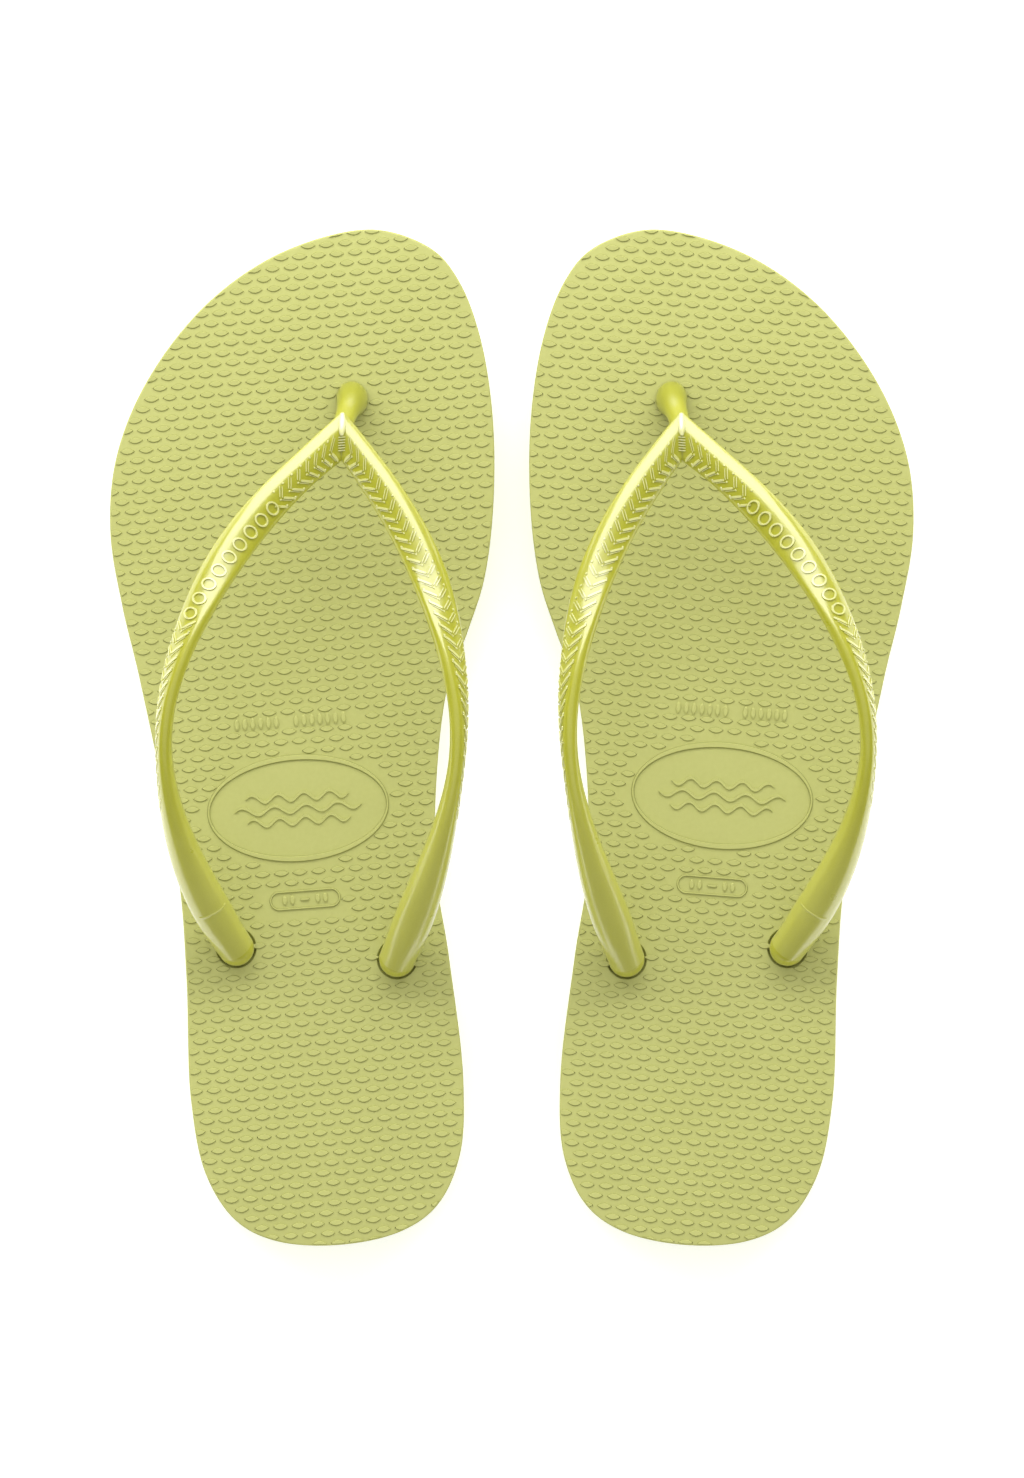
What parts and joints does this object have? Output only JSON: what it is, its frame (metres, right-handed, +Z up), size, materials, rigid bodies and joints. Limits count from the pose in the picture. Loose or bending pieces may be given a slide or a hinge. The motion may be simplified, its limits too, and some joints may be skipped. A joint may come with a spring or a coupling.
{
  "type": "flip flop",
  "caption": "Pair of flat rubber flip flops with slim moulded V straps, toe posts and retaining plugs under the sole.",
  "frame": {"origin": "on the ground, under the middle of the pair's box", "axes": "+Z up, +Y towards the toes, +X towards the right shoe"},
  "size_m": [0.2084, 0.2636, 0.0547],
  "materials": {
    "footbed_rubber": "matte, covered in small raised grains",
    "outsole_rubber": "matte, with a fine moulded tread",
    "strap_vinyl": "translucent, satin with a pearly sheen"
  },
  "bodies": {
    "left_shoe": {"left_footbed": "footbed_rubber", "left_outsole": "outsole_rubber", "left_strap": "strap_vinyl"},
    "right_shoe": {"right_footbed": "footbed_rubber", "right_outsole": "outsole_rubber", "right_strap": "strap_vinyl"}
  },
  "joints": [
    {"name": "right_shoe_lift", "type": "slide", "parent": "left_shoe", "child": "right_shoe", "axis": [0, 0, 1], "range_m": [0, 0.15]}
  ]
}
